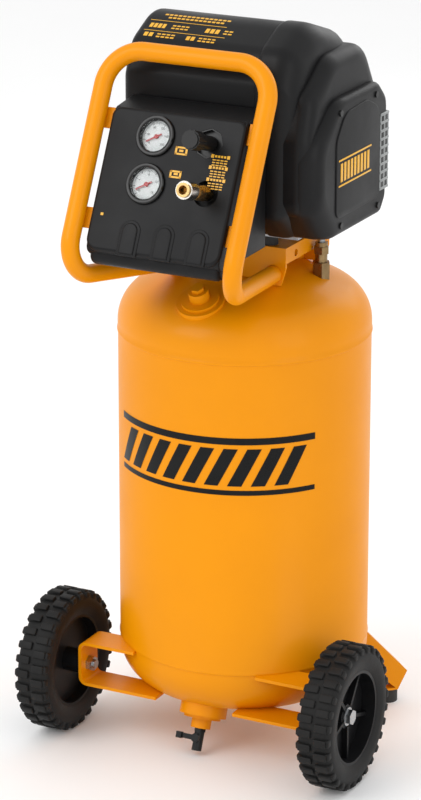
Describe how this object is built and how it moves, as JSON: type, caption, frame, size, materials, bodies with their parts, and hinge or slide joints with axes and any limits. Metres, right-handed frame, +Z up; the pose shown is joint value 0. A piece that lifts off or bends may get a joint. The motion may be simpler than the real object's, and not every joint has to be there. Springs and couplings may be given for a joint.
{
  "type": "portable air compressor",
  "caption": "Upright portable air compressor: orange tank on two wheels and two rubber feet, black pump shroud and console inside a tube handle.",
  "frame": {"origin": "under the middle of the whole machine, on the ground", "axes": "+Z up along the tank, -Y towards the console and handle, +X towards the vented end of the shroud, along the wheel axle"},
  "size_m": [0.4874, 0.4852, 1.0337],
  "materials": {
    "tank_paint": "semi-gloss",
    "black_moulding": "satin",
    "black_hardware": "gloss",
    "rubber": "matte",
    "tyre_rubber": "matte",
    "steel": "satin",
    "nickel_plate": "polished",
    "brass": "satin",
    "cast_alloy": "satin",
    "grey_iron": "matte",
    "dial_white": "matte",
    "needle_red": "gloss",
    "clear_lens": "polished"
  },
  "bodies": {
    "frame": {"tank_shell": "tank_paint", "top_head": "tank_paint", "bottom_head": "tank_paint", "top_boss": "tank_paint", "top_plug": "steel", "drain_boss": "tank_paint", "drain_valve_body": "black_hardware", "left_wheel_bracket": "tank_paint", "right_wheel_bracket": "tank_paint", "left_rear_leg": "tank_paint", "right_rear_leg": "tank_paint", "rubber_feet": "rubber", "foot_screws": "steel", "axle_bolts": "steel", "axle_nuts": "steel", "saddle": "tank_paint", "isolators": "rubber", "base_bolts": "steel", "pump_base": "cast_alloy", "handle_frame": "tank_paint", "console_screws": "black_hardware", "console_panel": "black_moulding", "gauge_cases": "black_hardware", "gauge_dials": "dial_white", "gauge_lenses": "clear_lens", "manifold": "cast_alloy", "regulator_body": "black_hardware", "coupler_body": "brass", "pressure_switch": "black_moulding", "safety_valve_body": "brass", "riser_pipe": "steel", "check_valve": "brass", "outlet_tube": "cast_alloy", "motor_housing": "cast_alloy", "crankcase": "cast_alloy", "cylinder_barrel": "grey_iron", "cylinder_head": "cast_alloy", "intake_filter": "black_moulding", "shroud_hood": "black_moulding", "shroud_end_cover": "black_moulding", "side_grille": "nickel_plate", "shroud_screws": "steel", "cord_gland": "black_moulding"},
    "left_wheel": {"left_rim": "black_moulding", "left_tyre": "tyre_rubber"},
    "right_wheel": {"right_rim": "black_moulding", "right_tyre": "tyre_rubber"},
    "drain": {"drain_lever": "black_hardware", "drain_ball": "steel"},
    "tank_needle": {"tank_needle": "needle_red"},
    "outlet_needle": {"outlet_needle": "needle_red"},
    "regulator": {"regulator_knob": "black_hardware"},
    "sleeve": {"coupler_sleeve": "nickel_plate"},
    "switch": {"switch_lever": "needle_red"},
    "safety": {"safety_valve_ring": "steel"},
    "crank": {"motor_shaft": "steel", "cooling_fan": "black_moulding"},
    "piston": {"piston": "cast_alloy"},
    "rod": {"connecting_rod": "steel"}
  },
  "joints": [
    {"name": "left_wheel_spin", "type": "hinge", "parent": "frame", "child": "left_wheel", "pos_m": [-0.2184, -0.0765, 0.1016], "axis": [1, 0, 0], "continuous": true},
    {"name": "right_wheel_spin", "type": "hinge", "parent": "frame", "child": "right_wheel", "pos_m": [0.2184, -0.0765, 0.1016], "axis": [1, 0, 0], "continuous": true},
    {"name": "drain_turn", "type": "hinge", "parent": "frame", "child": "drain", "pos_m": [0, -0.08308, 0.02517], "axis": [0, -0.9232, 0.3843], "range_deg": [0, 90]},
    {"name": "tank_needle_turn", "type": "hinge", "parent": "frame", "child": "tank_needle", "pos_m": [-0.028, -0.14748, 0.90075], "axis": [0, -0.8973, 0.4415], "range_deg": [-270, 0]},
    {"name": "outlet_needle_turn", "type": "hinge", "parent": "frame", "child": "outlet_needle", "pos_m": [-0.028, -0.17574, 0.84332], "axis": [0, -0.8973, 0.4415], "range_deg": [-270, 0]},
    {"name": "regulator_turn", "type": "hinge", "parent": "frame", "child": "regulator", "pos_m": [0.05, -0.14779, 0.90012], "axis": [0, -0.9527, 0.304], "range_deg": [-360, 360]},
    {"name": "sleeve_slide", "type": "slide", "parent": "frame", "child": "sleeve", "axis": [0, 0.9527, -0.304], "range_m": [0, 0.005], "stiffness_N_per_m": 2000},
    {"name": "switch_turn", "type": "hinge", "parent": "frame", "child": "switch", "pos_m": [-0.1, -0.1284, 0.78504], "axis": [1, 0, 0], "range_deg": [0, 40]},
    {"name": "safety_pull", "type": "slide", "parent": "frame", "child": "safety", "axis": [1, 0, 0], "range_m": [0, 0.006], "stiffness_N_per_m": 1500},
    {"name": "crank_turn", "type": "hinge", "parent": "frame", "child": "crank", "pos_m": [0.05, 0.0486, 0.83604], "axis": [1, 0, 0], "continuous": true},
    {"name": "piston_slide", "type": "slide", "parent": "frame", "child": "piston", "axis": [0, 0, 1], "range_m": [-0.03, 0]},
    {"name": "rod_swing", "type": "hinge", "parent": "piston", "child": "rod", "pos_m": [-0.046, 0.0486, 0.92704], "axis": [1, 0, 0], "range_deg": [-11.4, 11.4]}
  ]
}
